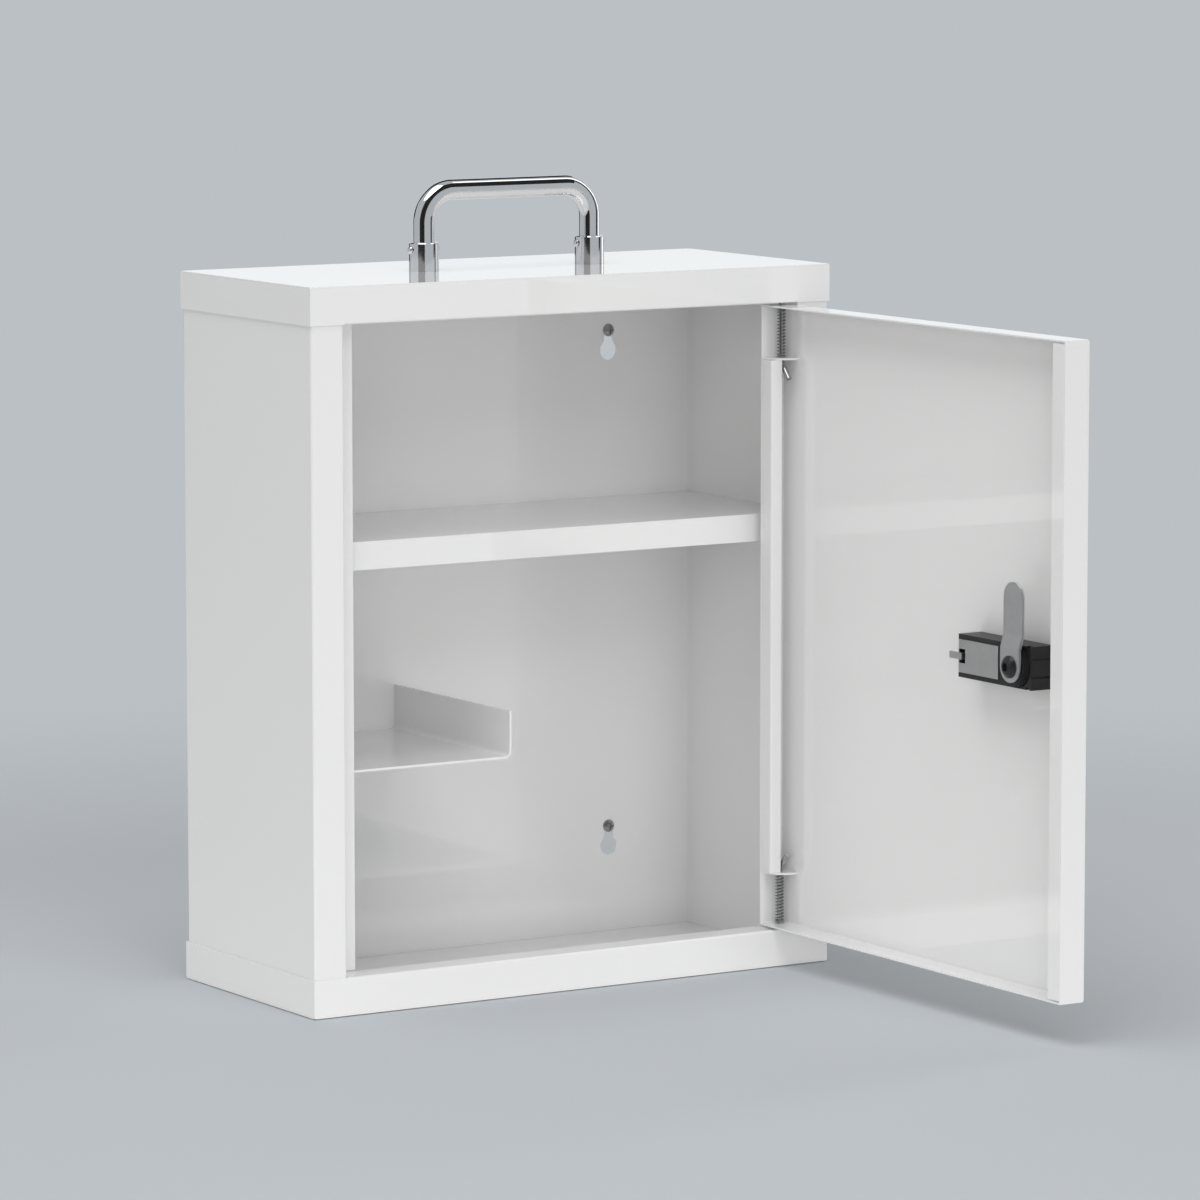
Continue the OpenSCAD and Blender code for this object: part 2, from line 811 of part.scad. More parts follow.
module lock_housing() {
    half_h = block_h / 2;
    foot = depth_y(sheet_t + fit_gap);
    top = depth_y(block_face);
    cavity_x0 = block_x0 + housing_wall;
    cavity_x1 = block_x1 - housing_wall;
    groove_z = 4.7;
    groove_w = 0.8;
    slot_x0 = lock_x - 10.6;
    slot_w = 3;
    slot_h = 1.3;
    color(black)
        on_door()
            difference() {
                block([house_x0, foot, lock_z - half_h], [block_x1, top, lock_z + half_h]);
                block([cavity_x0, foot - 1, lock_z - cavity_h / 2],
                      [cavity_x1, top - end_wall, lock_z + cavity_h / 2]);
                block([cavity_x0, top - end_wall - 1, lock_z - window_h / 2],
                      [cavity_x1, top + 1, lock_z + window_h / 2]);
                bar_y(barrel_r + fit_gap, lock_x, lock_z, foot - 1, top + 1);
                bar_y(nut_r + 3 * free_gap, lock_x, lock_z, top - nut_seat, top + 1);
                bar_x(shaft_r + fit_gap, block_x0 + 0.6, block_x1 + 1, depth_y(wheel_depth), lock_z);
                for (side = [-1, 1]) {
                    translate([0, 0, lock_z + side * groove_z])
                        block([house_x0 - 1, foot + 2, -groove_w / 2], [house_x0 + 0.7, top + 1, groove_w / 2]);
                    translate([0, 0, lock_z + side * half_h])
                        block([slot_x0, top - slot_w, -slot_h], [slot_x0 + slot_w, top + 1, slot_h]);
                }
            }
}

module lock_bezel() {
    x0 = house_x0 - 3;
    x1 = block_x1 + 3;
    z0 = lock_z - bezel_h / 2;
    z1 = lock_z + bezel_h / 2;
    r = 5;
    front = door_y - bezel_t;
    color(black)
        on_door()
            difference() {
                union() {
                    translate([0, door_y - fit_gap, 0])
                        rotate([90, 0, 0])
                            linear_extrude(bezel_t - fit_gap)
                                union() {
                                    translate([x0 + r, z0])
                                        square([x1 - x0 - 2 * r, z1 - z0]);
                                    translate([x0, z0 + r])
                                        square([x1 - x0, z1 - z0 - 2 * r]);
                                    for (x = [x0 + r, x1 - r])
                                        for (z = [z0 + r, z1 - r])
                                            translate([x, z])
                                                circle(r = r);
                                }
                    bar_y(barrel_r, lock_x, lock_z, front + 1, depth_y(barrel_end));
                }
                bar_y(spindle_r + run_gap, lock_x, lock_z, front - 1, depth_y(barrel_end) + 1);
                for (i = [0:wheel_count - 1])
                    bar_x(wheel_r + free_gap, wheel_x1 - i * wheel_pitch - wheel_w - free_gap,
                          wheel_x1 - i * wheel_pitch + free_gap, depth_y(wheel_depth), lock_z);
            }
}

module lock_ring_nut() {
    y0 = depth_y(block_face - nut_seat) + fit_gap;
    grip = 1.9;
    rim = 1.1;
    rim_r = barrel_r + 0.8;
    color(black)
        on_door()
            difference() {
                union() {
                    bar_y(nut_r, lock_x, lock_z, y0, y0 + grip);
                    bar_y(rim_r, lock_x, lock_z, y0, y0 + grip + rim);
                }
                bar_y(barrel_r + 0.03, lock_x, lock_z, y0 - 1, y0 + grip + rim + 1);
                for (a = [0:30:330])
                    translate([lock_x, y0 - 1, lock_z])
                        rotate([0, a, 0])
                            bar_y(0.6, nut_r + 0.2, 0, 0, grip + 1);
            }
}

module lock_back_plate() {
    x0 = block_x0 + plate_edge;
    x1 = block_x1 - plate_edge;
    y = depth_y(block_face) + fit_gap;
    color(grey_steel)
        on_door()
            difference() {
                block([x0, y, lock_z - plate_h / 2], [x1, y + plate_t, lock_z + plate_h / 2]);
                block([x1 - 0.6 - notch_w, y - 1, lock_z - notch_h / 2],
                      [x1 - 0.6, y + plate_t + 1, lock_z + notch_h / 2]);
            }
}

module reset_tab() {
    y = depth_y(block_face) + fit_gap + plate_t + fit_gap;
    notch_x1 = block_x1 - plate_edge - 0.6;
    tip = notch_x1 - notch_w + reset_travel + 0.2;
    color(grey_steel)
        on_door()
            union() {
                block([tip, y, lock_z - tab_h / 2], [block_x1 + tab_out, y + tab_t, lock_z + tab_h / 2]);
                block([tip, y - plate_t - 1.2, lock_z - tab_h / 2], [tip + 1.6, y + eps, lock_z + tab_h / 2]);
            }
}

module dial_shaft() {
    color(satin)
        on_door()
            bar_x(shaft_r, block_x0 + 0.8, block_x1 - 0.2, depth_y(wheel_depth), lock_z);
}

// A number wheel, counted from the hinge side, with ten notches in its rim
module dial_wheel(i) {
    x1 = wheel_x1 - i * wheel_pitch;
    notches = 10;
    color(black)
        on_door()
            translate([x1 - wheel_w, depth_y(wheel_depth), lock_z])
                rotate([0, 90, 0])
                    difference() {
                        cylinder(r = wheel_r, h = wheel_w);
                        translate([0, 0, -1])
                            cylinder(r = wheel_bore_r, h = wheel_w + 2);
                        for (k = [0:notches - 1])
                            rotate([0, 0, k * 360 / notches])
                                translate([wheel_r + 0.2, 0, -1])
                                    cylinder(r = 0.7, h = wheel_w + 2);
                    }
}

module dial_wheel_1() {
    dial_wheel(0);
}

module dial_wheel_2() {
    dial_wheel(1);
}

module dial_wheel_3() {
    dial_wheel(2);
}

module dial_wheel_4() {
    dial_wheel(min(3, wheel_count - 1));
}

// A leaf in the housing's lower inner corner, one finger to each wheel
module detent_spring() {
    leaf_t = 0.35;
    leaf_w = 7.6;
    x0 = wheel_x1 - wheel_count * wheel_pitch + 1;
    x1 = wheel_x1;
    color(satin)
        on_door()
            translate([0, depth_y(wheel_depth), lock_z])
                rotate([-45, 0, 0])
                    difference() {
                        block([x0, wheel_r + free_gap, -leaf_w / 2], [x1, wheel_r + free_gap + leaf_t, leaf_w / 2]);
                        for (i = [1:wheel_count - 1])
                            block([x1 - i * wheel_pitch + 0.2, wheel_r, -leaf_w / 2 - 1],
                                  [x1 - i * wheel_pitch + wheel_pitch - wheel_w - 0.2, wheel_r + 1, 1]);
                    }
}

module lock_spindle() {
    y0 = door_y - bezel_t - knob_len / 2;
    shoulder = depth_y(cam_base) - fit_gap;
    end = depth_y(cam_base) + cam_t;
    color(satin)
        on_door()
            difference() {
                union() {
                    bar_y(spindle_r, lock_x, lock_z, y0, shoulder);
                    block([lock_x - spindle_square / 2, shoulder - 1, lock_z - spindle_square / 2],
                          [lock_x + spindle_square / 2, end, lock_z + spindle_square / 2]);
                }
                bar_y(2 + fit_gap, lock_x, lock_z, end - 9, end + 1);
            }
}

module lock_knob() {
    y1 = door_y - bezel_t - free_gap;
    y0 = y1 - knob_len;
    grip_w = 7;
    color(black)
        on_door()
            difference() {
                union() {
                    bar_y(knob_r, lock_x, lock_z, y0 + 5, y1);
                    intersection() {
                        bar_y(knob_r, lock_x, lock_z, y0, y1);
                        block([lock_x - grip_w / 2, y0, lock_z - knob_r], [lock_x + grip_w / 2, y1, lock_z + knob_r]);
                    }
                }
                bar_y(spindle_r + 0.02, lock_x, lock_z, door_y - bezel_t - knob_len / 2 - fit_gap, y1 + 1);
                bar_y(3 + fit_gap, lock_x, lock_z, y0 - 1, y0 + 3);
            }
}

module key_plug() {
    y0 = door_y - bezel_t - free_gap - knob_len;
    color(satin)
        on_door()
            difference() {
                bar_y(3, lock_x, lock_z, y0 - 0.3, y0 + 2.9);
                block([lock_x - 0.5, y0 - 1, lock_z - 2], [lock_x + 0.5, y0 + 1.5, lock_z + 2]);
            }
}

// The cam: a strip with round ends and a step towards the door
module lock_cam() {
    y0 = depth_y(cam_base);
    tip_z = cam_reach - cam_w / 2;
    hole = spindle_square + 2 * fit_gap;
    color(grey_steel)
        on_door()
            translate([lock_x, y0, lock_z])
                difference() {
                    intersection() {
                        union() {
                            bar_y(cam_w / 2, 0, 0, -cam_step, cam_t);
                            block([-cam_w / 2, -cam_step, 0], [cam_w / 2, cam_t, tip_z]);
                            bar_y(cam_w / 2, 0, tip_z, -cam_step, cam_t);
                        }
                        translate([-cam_w / 2 - 1, 0, 0])
                            rotate([90, 0, 90])
                                linear_extrude(cam_w + 2)
                                    polygon([
                                        [0, -cam_w], [0, cam_step_z], [-cam_step, cam_step_z + cam_step_len],
                                        [-cam_step, cam_reach + 1], [cam_t - cam_step, cam_reach + 1],
                                        [cam_t - cam_step, cam_step_z + cam_step_len + 0.4],
                                        [cam_t, cam_step_z + 0.4], [cam_t, -cam_w],
                                    ]);
                    }
                    block([-hole / 2, -cam_step - 1, -hole / 2], [hole / 2, cam_t + 1, hole / 2]);
                }
}

module cam_screw() {
    y0 = depth_y(cam_base) + cam_t + fit_gap;
    dome_r = (cam_screw_r * cam_screw_r + cam_screw_h * cam_screw_h) / (2 * cam_screw_h);
    color(black)
        on_door()
            difference() {
                union() {
                    intersection() {
                        bar_y(cam_screw_r, lock_x, lock_z, y0, y0 + cam_screw_h);
                        translate([lock_x, y0 + cam_screw_h + 0.6 - dome_r, lock_z])
                            sphere(r = dome_r, $fn = 64);
                    }
                    bar_y(2, lock_x, lock_z, y0 - 8, y0 + 1);
                }
                translate([lock_x, y0 + cam_screw_h - 1.4, lock_z])
                    rotate([-90, 0, 0])
                        cylinder(r = 2.3, h = 3, $fn = 6);
            }
}

case_wrap();
top_cap();
bottom_cap();
shelf();
side_tray();
wall_screws();
handle_post_left();
handle_post_right();
handle_pins();
handle_screws();
handle_washers();
handle_rod();
door_panel();
gusset_upper();
gusset_lower();
hinge_pin_upper();
hinge_pin_lower();
pin_collar_upper();
pin_collar_lower();
spring_upper();
spring_lower();
lock_housing();
lock_bezel();
lock_ring_nut();
lock_back_plate();
dial_shaft();
dial_wheel_1();
dial_wheel_2();
dial_wheel_3();
dial_wheel_4();
detent_spring();
reset_tab();
lock_knob();
key_plug();
lock_spindle();
lock_cam();
cam_screw();
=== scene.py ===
import math

import bmesh
import bpy
from bpy.props import FloatProperty, FloatVectorProperty, IntProperty, PointerProperty
from bpy.types import Operator, Panel, PropertyGroup
from mathutils import Matrix, Vector


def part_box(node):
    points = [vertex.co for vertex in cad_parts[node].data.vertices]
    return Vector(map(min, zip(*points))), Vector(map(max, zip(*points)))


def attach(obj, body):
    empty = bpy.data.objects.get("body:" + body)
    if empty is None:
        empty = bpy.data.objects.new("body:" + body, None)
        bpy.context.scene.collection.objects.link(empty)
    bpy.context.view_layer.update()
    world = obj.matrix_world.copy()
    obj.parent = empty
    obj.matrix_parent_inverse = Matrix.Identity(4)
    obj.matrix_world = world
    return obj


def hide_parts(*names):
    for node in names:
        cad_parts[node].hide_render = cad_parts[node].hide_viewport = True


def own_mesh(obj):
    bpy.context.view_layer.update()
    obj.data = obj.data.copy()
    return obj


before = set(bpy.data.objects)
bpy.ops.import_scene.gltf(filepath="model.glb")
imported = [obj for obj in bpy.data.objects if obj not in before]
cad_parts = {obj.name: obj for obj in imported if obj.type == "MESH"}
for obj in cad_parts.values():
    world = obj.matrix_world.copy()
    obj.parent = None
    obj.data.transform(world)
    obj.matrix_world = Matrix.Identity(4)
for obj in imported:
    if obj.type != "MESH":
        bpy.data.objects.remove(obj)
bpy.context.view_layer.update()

bl_info = {
    "name": "Lockable Medicine Cabinet",
    "version": (1, 0, 0),
    "blender": (4, 5, 0),
    "location": "3D View > Sidebar > Cabinet",
    "description": "Paints and dresses a sheet-steel wall cabinet with a combination lock",
    "category": "Object",
}

PAINTED_CASE = ("case_wrap", "top_cap", "bottom_cap", "shelf", "side_tray")
PAINTED_DOOR = ("door_panel", "gusset_upper", "gusset_lower")
HINGE_PINS = ("hinge_pin_upper", "hinge_pin_lower", "pin_collar_upper", "pin_collar_lower")
WHEELS = ("dial_wheel_1", "dial_wheel_2", "dial_wheel_3", "dial_wheel_4")

# Lengths are in metres unless a comment says otherwise
MICRON = 0.000001

# Stretch of a finish on X, Y and Z: small along its drawn lines, and even where it has none
NO_LINES = (1, 1, 1)

# Rounding of the sharp edges of the lock's stamped and moulded pieces
LOCK_EDGE = 0.00015
SHARP_FROM = math.radians(40)
WELD_REACH = 0.00001

# Steps along one turn of a spring, and sides of its wire
COIL_STEPS = 24
WIRE_SIDES = 10

# Figures round a wheel, a figure's height as a share of its type size, and how far its
# middle is lifted off the wheel as a share of its relief
FIGURES = 10
FIGURE_SHARE = 0.7
FIGURE_LIFT = 0.6

# Index marks beside the wheels, and the gap between the bezel's front and the knob
MARK_LENGTH = 0.0018
MARK_WIDTH = 0.0007
MARK_GAP = 0.0016
KNOB_GAP = 0.0002

# The knob's pointer: its width, and how far its two ends lie below the knob's top
POINTER_WIDTH = 0.001
POINTER_ENDS = (0.0052, 0.0012)

# Each lamp's place, width and height; the last two places are bearings from the handle
OVERHEAD_LAMP = ((-0.6, -0.3, 2.1), 1.5, 1.5)
HIGH_FRONT_LAMP = ((-0.3, -2.4, 2.05), 1.6, 1.2)
LOW_LAMP = ((-0.5, -3.0, 0.35), 2.2, 0.5)
SIDE_LAMP = ((-2.1, -2.3, 0.95), 1.1, 1.1)
REAR_LAMP = (dict(azimuth=58, elevation=8, distance=2.6), 1.8, 0.5)
STRIP_LAMP = (dict(azimuth=1, elevation=27, distance=2.2), 0.5, 3.1)
LAMP_AIM = (0, -0.1, 0.2)

# The dark lines in the handle's chrome, each with its side of the handle and the turns round
# the rod, from 0 at its front to 90 at its outer side, that it covers at the leg and the bar
DARK_LINES = {
    "card_front": (-1, (28, 54), (18, 41)),
    "card_rear": (-1, (98, 110), (59, 76)),
    "card_right": (1, (8, 17), (34, 42)),
}
CARD_DISTANCE = 2.0

# The floor lies just below the cabinet and fades between these shares of its radius
FLOOR_PLACE = (0, -0.1, -0.0005)
FADE_FROM = 0.3
FADE_TO = 0.95
ROOM_TINT = (1.0, 0.993, 0.985)

# The camera's sensor in mm, and its focal length and picture width in pixels
SENSOR_WIDTH = 36
FOCAL_PIXELS = 6332.6
PICTURE_PIXELS = 1200


# ---- sizes, colours and light -----------------------------------------------

class PaintSettings(PropertyGroup):
    """White powder coat of the case and the door"""

    colour: FloatVectorProperty(
        name="Paint", description="Colour of the powder coat",
        subtype="COLOR", size=3, min=0, max=1, default=(0.90, 0.90, 0.90))
    roughness: FloatProperty(
        name="Roughness", description="Roughness of the coat's surface",
        subtype="FACTOR", min=0, max=1, default=0.12)
    peel_size: FloatProperty(
        name="Orange peel size", description="Width of one ripple in the coat",
        unit="LENGTH", precision=5, default=0.0022)
    peel_depth: FloatProperty(
        name="Orange peel depth", description="Depth of the ripples in the coat",
        unit="LENGTH", precision=7, default=0.8 * MICRON)


class MetalSettings(PropertyGroup):
    """Bare and plated metal"""

    chrome: FloatVectorProperty(
        name="Chrome", description="Colour of the handle's plating",
        subtype="COLOR", size=3, min=0, max=1, default=(0.78, 0.78, 0.785))
    nickel: FloatVectorProperty(
        name="Nickel", description="Colour of the hinge pins",
        subtype="COLOR", size=3, min=0, max=1, default=(0.42, 0.42, 0.425))
    zinc: FloatVectorProperty(
        name="Zinc", description="Colour of the hidden screws",
        subtype="COLOR", size=3, min=0, max=1, default=(0.62, 0.62, 0.63))
    stamped: FloatVectorProperty(
        name="Stamped steel", description="Colour of the cam and the lock's plate",
        subtype="COLOR", size=3, min=0, max=1, default=(0.66, 0.66, 0.66))
    wire: FloatVectorProperty(
        name="Spring wire", description="Colour of the springs",
        subtype="COLOR", size=3, min=0, max=1, default=(0.28, 0.28, 0.285))
    dark: FloatVectorProperty(
        name="Dark zinc", description="Colour of the wall screws",
        subtype="COLOR", size=3, min=0, max=1, default=(0.45, 0.45, 0.46))


class SpringSettings(PropertyGroup):
    """The two springs round the hinge pins"""

    wire: FloatProperty(
        name="Wire radius", description="Radius of the spring's wire",
        unit="LENGTH", precision=5, default=0.0003)
    turns: IntProperty(
        name="Open turns", description="Turns between the two closed ends",
        min=4, max=30, default=14)


class LockSettings(PropertyGroup):
    """Black pieces of the lock and the figures on its wheels"""

    black: FloatVectorProperty(
        name="Black", description="Colour of the moulded pieces",
        subtype="COLOR", size=3, min=0, max=1, default=(0.016, 0.016, 0.017))
    figure_colour: FloatVectorProperty(
        name="Figures", description="Colour of the figures and marks",
        subtype="COLOR", size=3, min=0, max=1, default=(0.78, 0.78, 0.76))
    figure_height: FloatProperty(
        name="Figure height", description="Height of a figure on a wheel",
        unit="LENGTH", precision=5, default=0.0040)
    figure_relief: FloatProperty(
        name="Figure relief", description="How far a figure stands proud of its wheel",
        unit="LENGTH", precision=6, default=0.00004)
    figures_shown: IntProperty(
        name="Number shown", description="The number that the wheels show",
        min=0, max=9999, default=0)


class StageSettings(PropertyGroup):
    """Floor, backdrop, lamps and camera"""

    backdrop: FloatVectorProperty(
        name="Backdrop", description="Colour behind the cabinet",
        subtype="COLOR", size=3, min=0, max=1, default=(0.497, 0.527, 0.552))
    floor: FloatVectorProperty(
        name="Floor", description="Colour of the floor",
        subtype="COLOR", size=3, min=0, max=1, default=(0.541, 0.574, 0.602))
    floor_bounce: FloatVectorProperty(
        name="Floor bounce", description="Colour of the floor for the light that it throws back up",
        subtype="COLOR", size=3, min=0, max=1, default=(0.90, 0.90, 0.90))
    floor_radius: FloatProperty(
        name="Floor radius", description="Radius of the floor, which fades out at its rim",
        unit="LENGTH", default=1.3)
    room: FloatProperty(
        name="Room light", description="Strength of the even light from all sides",
        min=0, default=0.375)
    overhead: FloatProperty(
        name="Overhead lamp", description="Power of the soft lamp above the cabinet",
        unit="POWER", min=0, default=19.0)
    high_front: FloatProperty(
        name="High front lamp",
        description="Power of the soft lamp high in front, which reaches the floor inside",
        unit="POWER", min=0, default=14.6)
    low_front: FloatProperty(
        name="Low lamp", description="Power of the lamp low in front, which lifts the bottom rail",
        unit="POWER", min=0, default=12.2)
    side_front: FloatProperty(
        name="Side lamp",
        description="Power of the soft lamp in front at the left, which reaches the door's inside",
        unit="POWER", min=0, default=9.7)
    rear: FloatProperty(
        name="Rear lamp",
        description="Power of the lamp behind, which shows in the gloss of the top",
        unit="POWER", min=0, default=1.05)
    strip: FloatProperty(
        name="Strip lamp", description="Power of the tall narrow lamp that shows in the chrome",
        unit="POWER", min=0, default=6.5)
    camera_place: FloatVectorProperty(
        name="Camera", description="Place of the camera",
        subtype="TRANSLATION", unit="LENGTH", size=3, default=(-1.7438, -2.8882, 0.6237))
    camera_heading: FloatProperty(
        name="Heading", description="Camera's turn to the right of straight back",
        subtype="ANGLE", default=math.radians(31.96))
    camera_tilt: FloatProperty(
        name="Tilt", description="Camera's tilt above the horizon",
        subtype="ANGLE", default=math.radians(-7.141))
    camera_roll: FloatProperty(
        name="Roll", description="Camera's roll",
        subtype="ANGLE", default=math.radians(-0.029))
    camera_lens: FloatProperty(
        name="Lens", description="Focal length in mm on a sensor 36 mm wide",
        default=FOCAL_PIXELS / PICTURE_PIXELS * SENSOR_WIDTH)


# ---- node groups ------------------------------------------------------------

def new_group(name, inputs, outputs):
    """An empty shader group with named sockets, and its two end nodes."""
    group = bpy.data.node_groups.new(name, "ShaderNodeTree")
    for label, kind, value in inputs:
        group.interface.new_socket(label, in_out="INPUT", socket_type=kind).default_value = value
    for label, kind in outputs:
        group.interface.new_socket(label, in_out="OUTPUT", socket_type=kind)
    return group, group.nodes.new("NodeGroupInput"), group.nodes.new("NodeGroupOutput")


def join(tree, source, target):
    """Links one socket to another."""
    tree.links.new(source, target)


def maths(tree, operation, first, second):
    """A Math node; each input is a socket or a number."""
    node = tree.nodes.new("ShaderNodeMath")
    node.operation = operation
    for socket, value in zip(node.inputs, (first, second)):
        if isinstance(value, (int, float)):
            socket.default_value = value
        else:
            join(tree, value, socket)
    return node.outputs[0]


def noise(tree, place, scale, detail, roughness=0.5):
    """A Noise Texture's value; place and scale may be sockets."""
    node = tree.nodes.new("ShaderNodeTexNoise")
    node.inputs["Detail"].default_value = detail
    node.inputs["Roughness"].default_value = roughness
    join(tree, place, node.inputs["Vector"])
    if isinstance(scale, (int, float)):
        node.inputs["Scale"].default_value = scale
    else:
        join(tree, scale, node.inputs["Scale"])
    return node.outputs["Fac"]


def on_piece(tree):
    """Coordinates that stay on the piece, in metres."""
    return tree.nodes.new("ShaderNodeTexCoord").outputs["Object"]


def tone_group():
    """Slow drift of a colour and its roughness over the surface, with fine flecks."""
    group, start, end = new_group(
        "Surface tone",
        [("Color", "NodeSocketColor", (0.8, 0.8, 0.8, 1)), ("Roughness", "NodeSocketFloat", 0.3),
         ("Patch size", "NodeSocketFloat", 0.04), ("Color drift", "NodeSocketFloat", 0.03),
         ("Roughness drift", "NodeSocketFloat", 0.05), ("Fleck", "NodeSocketFloat", 0.01)],
        [("Color", "NodeSocketColor"), ("Roughness", "NodeSocketFloat")])
    place = on_piece(group)
    patch_scale = maths(group, "DIVIDE", 1.0, start.outputs["Patch size"])
    patches = noise(group, place, patch_scale, 3.0)
    flecks = noise(group, place, 2600.0, 2.0)
    smears = noise(group, place, maths(group, "MULTIPLY", patch_scale, 2.3), 4.0, 0.6)
    drift = maths(group, "MULTIPLY", maths(group, "SUBTRACT", patches, 0.5),
                  start.outputs["Color drift"])
    grain = maths(group, "MULTIPLY", maths(group, "SUBTRACT", flecks, 0.5), start.outputs["Fleck"])
    level = maths(group, "ADD", maths(group, "ADD", drift, grain), 1.0)
    tint = group.nodes.new("ShaderNodeVectorMath")
    tint.operation = "SCALE"
    join(group, start.outputs["Color"], tint.inputs[0])
    join(group, level, tint.inputs["Scale"])
    join(group, tint.outputs["Vector"], end.inputs["Color"])
    shift = maths(group, "MULTIPLY", maths(group, "SUBTRACT", smears, 0.5),
                  start.outputs["Roughness drift"])
    rough = group.nodes.new("ShaderNodeClamp")
    join(group, maths(group, "ADD", start.outputs["Roughness"], shift), rough.inputs["Value"])
    rough.inputs["Min"].default_value = 0.02
    join(group, rough.outputs["Result"], end.inputs["Roughness"])
    return group


def peel_group():
    """Ripples of a powder coat: soft cells over a longer swell."""
    group, start, end = new_group(
        "Orange peel",
        [("Ripple size", "NodeSocketFloat", 0.002), ("Depth", "NodeSocketFloat", 0.000002)],
        [("Height", "NodeSocketFloat")])
    place = on_piece(group)
    scale = maths(group, "DIVIDE", 1.0, start.outputs["Ripple size"])
    ripples = noise(group, place, scale, 1.0, 0.4)
    swell = noise(group, place, maths(group, "MULTIPLY", scale, 0.22), 1.0, 0.4)
    both = maths(group, "ADD", ripples, maths(group, "MULTIPLY", swell, 1.6))
    join(group, maths(group, "MULTIPLY", both, start.outputs["Depth"]), end.inputs["Height"])
    return group


def drawn_group():
    """Fine lines that drawing, rolling or brushing leaves along one direction."""
    group, start, end = new_group(
        "Drawn lines",
        [("Stretch", "NodeSocketVector", (1.0, 1.0, 0.03)),
         ("Line size", "NodeSocketFloat", 0.0002), ("Depth", "NodeSocketFloat", 0.000001)],
        [("Height", "NodeSocketFloat"), ("Lines", "NodeSocketFloat")])
    stretch = group.nodes.new("ShaderNodeVectorMath")
    stretch.operation = "MULTIPLY"
    join(group, on_piece(group), stretch.inputs[0])
    join(group, start.outputs["Stretch"], stretch.inputs[1])
    scale = maths(group, "DIVIDE", 1.0, start.outputs["Line size"])
    lines = noise(group, stretch.outputs["Vector"], scale, 3.0, 0.6)
    join(group, maths(group, "MULTIPLY", lines, start.outputs["Depth"]), end.inputs["Height"])
    join(group, lines, end.inputs["Lines"])
    return group


def moulded_group():
    """Eroded grain of moulded plastic and of cast or oxidised metal."""
    group, start, end = new_group(
        "Moulded grain",
        [("Grain size", "NodeSocketFloat", 0.0004), ("Depth", "NodeSocketFloat", 0.000004)],
        [("Height", "NodeSocketFloat")])
    place = on_piece(group)
    scale = maths(group, "DIVIDE", 1.0, start.outputs["Grain size"])
    cells = group.nodes.new("ShaderNodeTexVoronoi")
    cells.feature = "SMOOTH_F1"
    join(group, place, cells.inputs["Vector"])
    join(group, scale, cells.inputs["Scale"])
    fine = noise(group, place, maths(group, "MULTIPLY", scale, 1.7), 2.0)
    both = maths(group, "ADD", cells.outputs["Distance"], maths(group, "MULTIPLY", fine, 0.5))
    join(group, maths(group, "MULTIPLY", both, start.outputs["Depth"]), end.inputs["Height"])
    return group


# What makes each shader group the first time that it is asked for
GROUP_MAKERS = {
    "Surface tone": tone_group,
    "Orange peel": peel_group,
    "Drawn lines": drawn_group,
    "Moulded grain": moulded_group,
}


def place_group(tree, name, **values):
    """A node that uses the named group, built the first time, with its own values."""
    node = tree.nodes.new("ShaderNodeGroup")
    node.node_tree = bpy.data.node_groups.get(name) or GROUP_MAKERS[name]()
    for label, value in values.items():
        node.inputs[label.replace("_", " ")].default_value = value
    return node


# ---- materials --------------------------------------------------------------

def finish_material(name, colour, roughness, tone, relief, metallic=0.0, specular=0.5,
                    coat=0.0, coat_roughness=0.03, coat_ior=1.5):
    """A Principled material with tone over its surface and one kind of relief."""
    material = bpy.data.materials.get(name)
    if material:
        return material
    material = bpy.data.materials.new(name)
    material.use_nodes = True
    tree = material.node_tree
    shader = tree.nodes["Principled BSDF"]
    shader.inputs["Metallic"].default_value = metallic
    shader.inputs["Specular IOR Level"].default_value = specular
    shader.inputs["Coat Weight"].default_value = coat
    shader.inputs["Coat Roughness"].default_value = coat_roughness
    shader.inputs["Coat IOR"].default_value = coat_ior
    surface = place_group(tree, "Surface tone", Color=(*colour, 1), Roughness=roughness, **tone)
    join(tree, surface.outputs["Color"], shader.inputs["Base Color"])
    join(tree, surface.outputs["Roughness"], shader.inputs["Roughness"])
    kind, values = relief
    texture = place_group(tree, kind, **values)
    bump = tree.nodes.new("ShaderNodeBump")
    bump.inputs["Strength"].default_value = 1.0
    bump.inputs["Distance"].default_value = 1.0
    join(tree, texture.outputs["Height"], bump.inputs["Height"])
    join(tree, bump.outputs["Normal"], shader.inputs["Normal"])
    return material


def powder_coat():
    """White powder coat, whose mirror comes from its clear coat alone."""
    paint = bpy.context.scene.cabinet_paint
    return finish_material(
        "White powder coat", paint.colour, paint.roughness,
        dict(Patch_size=0.09, Color_drift=0.012, Roughness_drift=0.06, Fleck=0.006),
        ("Orange peel", dict(Ripple_size=paint.peel_size, Depth=paint.peel_depth)),
        specular=0.0, coat=1.0, coat_roughness=0.02, coat_ior=1.85)


def chrome(name, colour, roughness, stretch, depth):
    """Smooth plating with very fine lines."""
    return finish_material(
        name, colour, roughness,
        dict(Patch_size=0.012, Color_drift=0.03, Roughness_drift=0.04, Fleck=0.01),
        ("Drawn lines", dict(Stretch=stretch, Line_size=0.00025, Depth=depth)),
        metallic=1.0)


def bare_steel(name, colour, roughness, stretch, depth):
    """Rolled, turned or drawn steel with uneven tone."""
    return finish_material(
        name, colour, roughness,
        dict(Patch_size=0.006, Color_drift=0.14, Roughness_drift=0.12, Fleck=0.05),
        ("Drawn lines", dict(Stretch=stretch, Line_size=0.00022, Depth=depth)),
        metallic=1.0)


def spring_steel():
    """Dark drawn wire of the springs."""
    metal = bpy.context.scene.cabinet_metal
    return bare_steel("Spring wire", metal.wire, 0.22, NO_LINES, 1 * MICRON)


